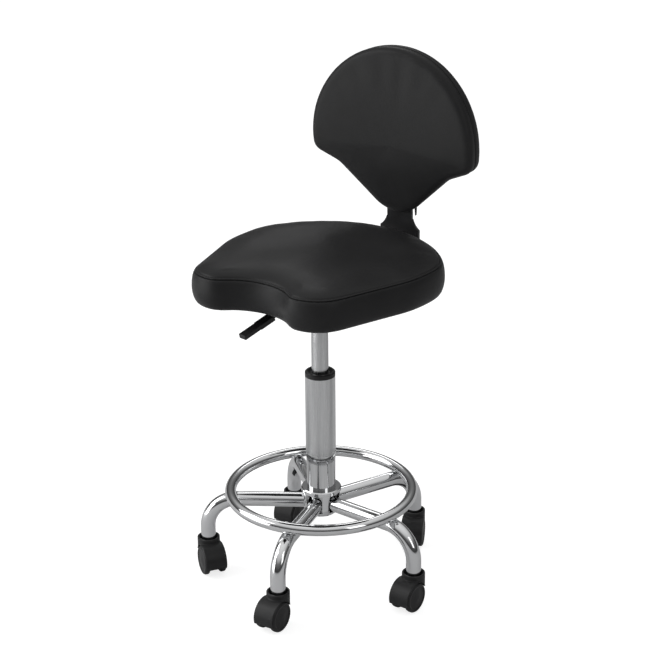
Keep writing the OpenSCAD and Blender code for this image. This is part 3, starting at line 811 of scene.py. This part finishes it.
def build_back_front(materials, own, outline, centre):
    pad = Pad(outline, centre, own.put)
    recess = BOARD_FRONT - BOARD_GAP
    pad.fill(BACK_BOARD_INSET, recess, 4)
    pad.rings.reverse()
    pad.ring(BACK_BOARD_INSET, recess)
    tip_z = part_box("back_cushion")[0].z

    def thinner(plan, offset):
        """The pad loses depth towards its tip."""
        low = min(1.0, max(0.0, (tip_z + TIP_TAPER - plan[1]) / TIP_TAPER))
        return offset + 12 * MM * low ** 1.6 * max(0.0, (-6 * MM - offset) / (18 * MM))

    for inset, offset in BACK_FRONT_EDGE_MM:
        pad.ring(inset * MM, lambda plan, depth: thinner(plan, offset * MM))

    def front(plan, inset):
        """The slightly crowned face inside the rounded edge."""
        crown = 2.5 * MM * (1 - math.exp(-(inset - 10 * MM) / (45 * MM)))
        return thinner(plan, BACK_FRONT - crown - 0.15 * MM)

    pad.ring(13.5 * MM, front)
    pad.fill(13.5 * MM, front, 32)
    cushion = pad.build("back_pad_front", materials["black_vinyl"])

    def held(co):
        local = own.turn.transposed() @ (Vector(co) - own.pivot) + own.pivot
        offset = local.y - own.depth_at(local.x, 0)
        return 1.0 if offset > BACK_HELD_BEHIND else 0.0

    swell(cushion, held, BACK_PRESSURE, BACK_SWELL_CAP, BACK_RELAX)
    finish_pad(cushion, "backrest", "back_cushion")


def build_back_rear(materials, own, outline, centre):
    tip_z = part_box("back_cushion")[0].z
    slimmer = 3.5 * MM * np.clip((tip_z + 88 * MM - outline[:, 1]) / (20 * MM), 0, 1)
    outline = outline + inward_normals(outline) * blurred(slimmer, 20)[:, None]
    pad = Pad(outline, centre, own.put)
    inner = BOARD_REAR + BOARD_GAP
    pad.fill(5 * MM, inner, 4)
    pad.rings.reverse()
    pad.ring(5 * MM, inner)
    for inset, offset in BACK_REAR_EDGE_MM:
        pad.ring(inset * MM, offset * MM)

    def rear(plan, inset):
        return BACK_REAR + 1.6 * MM * (1 - math.exp(-(inset - 16 * MM) / (30 * MM))) - 0.6 * MM

    pad.fill(16 * MM, rear, 26)
    cover = pad.build("back_pad_rear", materials["black_vinyl"])
    hollow(cover, own)
    finish_pad(cover, "backrest", "back_cover")


def hollow(cover, own):
    """Opens the rear cover inside, and at the tip, for the bar and the housing that slides on it."""
    tip_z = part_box("back_cushion")[0].z
    depth = BACK_REAR - BOARD_REAR
    front = own.middle + BOARD_REAR - 3 * MM
    for_housing = ((-44 * MM, front, tip_z + 20 * MM), (44 * MM, front + depth - 6 * MM, tip_z + 190 * MM))
    for_bar = ((-29 * MM, front, tip_z - 30 * MM), (29 * MM, front + 20.5 * MM, tip_z + 40 * MM))
    cut_away(cover, [for_housing, for_bar], own.out)
    cover.data.set_sharp_from_angle(angle=math.radians(50))


def cut_away(obj, boxes, put):
    """Takes boxes, given by two corners in the frame that put maps to the object's, out of a closed mesh."""
    faces = [(0, 1, 3, 2), (4, 6, 7, 5), (0, 4, 5, 1), (2, 3, 7, 6), (0, 2, 6, 4), (1, 5, 7, 3)]
    for first, last in boxes:
        corners = [put((x, y, z)) for x in (first[0], last[0]) for y in (first[1], last[1])
                   for z in (first[2], last[2])]
        cutter = add_object("cutter", corners, faces, obj.data.materials[0], smooth=False)
        cut = obj.modifiers.new("cut", "BOOLEAN")
        cut.operation = "DIFFERENCE"
        cut.solver = "EXACT"
        cut.object = cutter
        apply_modifiers(obj)
        bpy.data.objects.remove(cutter)


# ---------------------------------------------------------------- casters

def caster_places():
    """Each caster's stem axis and the heading of its trailing wheels, from the joints."""
    found = []
    for k in range(1, 6):
        stem = Vector(joints["caster_%d_swivel" % k]["pos_m"])
        axle = Vector(joints["left_wheel_%d_roll" % k]["pos_m"])
        trail = axle - stem
        found.append((k, Vector((stem.x, stem.y, 0)), math.atan2(trail.y, trail.x), axle))
    return found


def build_casters(materials):
    places = caster_places()
    hood_mesh = soft_hood(places[0], materials["caster_plastic"])
    wheel_mesh = wheel(materials["wheel_nylon"])
    for k, stem, heading, axle in places:
        turn = Matrix.Rotation(heading, 4, "Z")
        hood = link_object("caster_shell_%d" % k, hood_mesh)
        hood.matrix_world = Matrix.Translation(stem) @ turn
        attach(hood, "caster_%d" % k)
        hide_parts("caster_hood_%d" % k)
        for side, name in ((1, "left"), (-1, "right")):
            node = "%s_wheel_%d" % (name, k)
            disc = link_object("%s_wheel_disc_%d" % (name, k), wheel_mesh)
            outward = turn @ Matrix.Rotation(-side * math.pi / 2, 4, "X")
            disc.matrix_world = Matrix.Translation(axle) @ outward
            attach(disc, node)
            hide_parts(node)


def soft_hood(first, material):
    """The CAD hood with its lip raised to show the notch between the wheels, and its edges rounded as a
    moulding has them, in its stem's own frame."""
    k, stem, heading, _ = first
    own = (Matrix.Translation(stem) @ Matrix.Rotation(heading, 4, "Z")).inverted()
    mesh = frame["nodes"]["caster_hood_%d" % k].data.copy()
    mesh.transform(own)
    mesh.materials.clear()
    mesh.materials.append(material)
    obj = link_object("hood_work", mesh)
    weld(obj)
    apply_modifiers(obj)
    side = 60 * MM
    cut_away(obj, [((-side, -side, 0), (side, side, HOOD_LIP_Z))], Vector)
    mould(obj, 7, 0.25)
    done = obj.data
    bpy.data.objects.remove(obj)
    return done


def weld(obj):
    """Joins the corners that a CAD mesh has once for each face."""
    obj.modifiers.new("weld", "WELD").merge_threshold = WELD_DISTANCE


def mould(obj, rounds, kept):
    """Rounds a closed mesh's edges as a moulding has them, and keeps a share of the faces that takes."""
    remesh = obj.modifiers.new("remesh", "REMESH")
    remesh.mode = "VOXEL"
    remesh.voxel_size = MOULD_VOXEL
    smooth = obj.modifiers.new("smooth", "SMOOTH")
    smooth.factor = 0.5
    smooth.iterations = rounds
    thin = obj.modifiers.new("thin", "DECIMATE")
    thin.ratio = kept
    apply_modifiers(obj)
    obj.data.shade_smooth()


def wheel(material):
    """One wheel about its own axis, its outer face towards +Z: rim, shallow dish and hub cap."""
    low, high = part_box("left_wheel_1")
    radius = (high.z - low.z) / 2
    inner = WHEEL_GAP / 2
    face = inner + WHEEL_WIDTH
    profile = [(AXLE_RADIUS, face - 2.2 * MM), (AXLE_RADIUS, inner), (radius - 3 * MM, inner),
               (radius - 1.2 * MM, inner + 0.3 * MM), (radius - 0.3 * MM, inner + 1.1 * MM),
               (radius, inner + 2.2 * MM), (radius, face - 4.4 * MM), (radius - 0.4 * MM, face - 3.0 * MM),
               (radius - 1.3 * MM, face - 1.8 * MM), (radius - 2.6 * MM, face - 1.0 * MM),
               (radius - 4.0 * MM, face - 0.7 * MM), (radius - 4.9 * MM, face - 0.9 * MM),
               (radius - 5.5 * MM, face - 1.5 * MM), (radius - 6.4 * MM, face - 1.8 * MM),
               (radius - 8.5 * MM, face - 1.7 * MM), (10 * MM, face - 1.0 * MM), (6 * MM, face - 0.45 * MM),
               (3 * MM, face - 0.15 * MM), (0, face - 0.1 * MM)]
    obj = lathe("wheel_work", profile, material)
    face_outward(obj, close=True)
    obj.data.set_sharp_from_angle(angle=math.radians(45))
    mesh = obj.data
    bpy.data.objects.remove(obj)
    return mesh


# ---------------------------------------------------------------- lever

def build_lever(materials):
    """The paddle: the CAD grip's mesh with moulded, rounded edges."""
    obj = link_object("lever_paddle", frame["nodes"]["lever_grip"].data.copy())
    weld(obj)
    mould(obj, 8, 0.3)
    obj.data.materials.clear()
    obj.data.materials.append(materials["black_plastic"])
    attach(obj, "lever")
    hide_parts("lever_grip")


# ---------------------------------------------------------------- CAD nodes, stage, light, camera

def dress_cad_nodes(materials):
    for part in record["subparts"]:
        obj = frame["nodes"][part["node"]]
        obj.data.materials.clear()
        # The outer tube and the pressure cylinder both take the column material, whose colour holds painted
        # reflection bands
        on_column = part["node"] in ("lift_outer_tube", "lift_pressure_cylinder")
        obj.data.materials.append(materials["column" if on_column else part["material_slot"]])


def build_stage():
    far = FLOOR_REACH
    obj = add_object("floor", [(-far, -far, 0), (far, -far, 0), (far, far, 0), (-far, far, 0)],
                     [(0, 1, 2, 3)], floor_material(), smooth=False)
    obj.location.z = -FLOOR_GAP


def floor_material():
    """White where the camera sees it, and a quieter grey for what the chrome reflects."""
    material, tree, shader = new_material("pale_floor", (0.9, 0.9, 0.9), 0.6, specular=0.1)
    seen = tree.nodes.new("ShaderNodeLightPath").outputs["Is Camera Ray"]
    tint(tree, shader, seen, (0.6, 0.6, 0.605), (0.45, 0.45, 0.45))
    shader.inputs["Emission Color"].default_value = (1, 1, 1, 1)
    tree.links.new(spread(tree, seen, 0, 0.8, 0, 1), shader.inputs["Emission Strength"])
    return material


def area_light(name, location, target, size, power):
    data = bpy.data.lights.new(name, "AREA")
    data.shape = "RECTANGLE"
    data.size, data.size_y = size
    data.energy = power
    obj = link_object(name, data)
    obj.location = location
    obj.rotation_euler = (Vector(target) - Vector(location)).to_track_quat("-Z", "Y").to_euler()


def build_light():
    area_light("key", (-2.4, -1.6, 2.1), (0, 0, 0.45), (2.2, 2.2), 50)
    area_light("low_front", (-1.6, -1.6, 0.5), (0, 0, 0.55), (1.8, 1.0), 14)
    area_light("fill", (2.6, -0.6, 1.6), (0, 0, 0.4), (1.0, 1.6), 8)
    area_light("rim", (-1.55, 2.2, 2.2), (0, 0, 0.5), (0.9, 0.5), 4)
    world = bpy.data.worlds.new("studio")
    scene.world = world
    world.use_nodes = True
    tree = world.node_tree
    background = tree.nodes["Background"]
    ways = tree.nodes.new("ShaderNodeTexCoord")
    split = tree.nodes.new("ShaderNodeSeparateXYZ")
    ramp = tree.nodes.new("ShaderNodeValToRGB")
    raised = tree.nodes.new("ShaderNodeMapRange")
    raised.inputs["From Min"].default_value = -1
    tree.links.new(ways.outputs["Generated"], split.inputs["Vector"])
    tree.links.new(split.outputs["Z"], raised.inputs["Value"])
    tree.links.new(raised.outputs["Result"], ramp.inputs["Fac"])
    stops = [(0.0, 0.3), (0.5, 0.3), (0.53, 0.03), (0.60, 0.05), (0.72, 0.12), (0.82, 0.4), (1.0, 0.6)]
    ramp.color_ramp.elements[0].position = stops[0][0]
    ramp.color_ramp.elements[1].position = stops[-1][0]
    for position, _ in stops[1:-1]:
        ramp.color_ramp.elements.new(position)
    for element, (_, value) in zip(ramp.color_ramp.elements, stops):
        element.color = (value, value, value, 1)
    seen = tree.nodes.new("ShaderNodeLightPath")
    mix = tree.nodes.new("ShaderNodeMix")
    mix.data_type = "RGBA"
    mix.inputs["B"].default_value = (0.68, 0.68, 0.68, 1)
    tree.links.new(seen.outputs["Is Camera Ray"], mix.inputs["Factor"])
    tree.links.new(ramp.outputs["Color"], mix.inputs["A"])
    tree.links.new(mix.outputs["Result"], background.inputs["Color"])
    background.inputs["Strength"].default_value = 1.5
    scene.view_settings.view_transform = "Standard"


def build_camera():
    data = bpy.data.cameras.new("photo_view")
    data.lens = CAMERA_LENS
    data.sensor_width = 36
    obj = link_object("photo_view", data)
    look = (Vector(CAMERA_TARGET) - Vector(CAMERA_PLACE)).to_track_quat("-Z", "Y").to_matrix().to_4x4()
    roll = Matrix.Rotation(math.radians(CAMERA_ROLL), 4, "Z")
    obj.matrix_world = Matrix.Translation(CAMERA_PLACE) @ look @ roll
    scene.camera = obj


# ---------------------------------------------------------------- the whole scene

materials = make_materials()
dress_cad_nodes(materials)
build_camera()
build_light()
build_stage()
build_seat(materials)
build_back(materials)
build_casters(materials)
build_lever(materials)
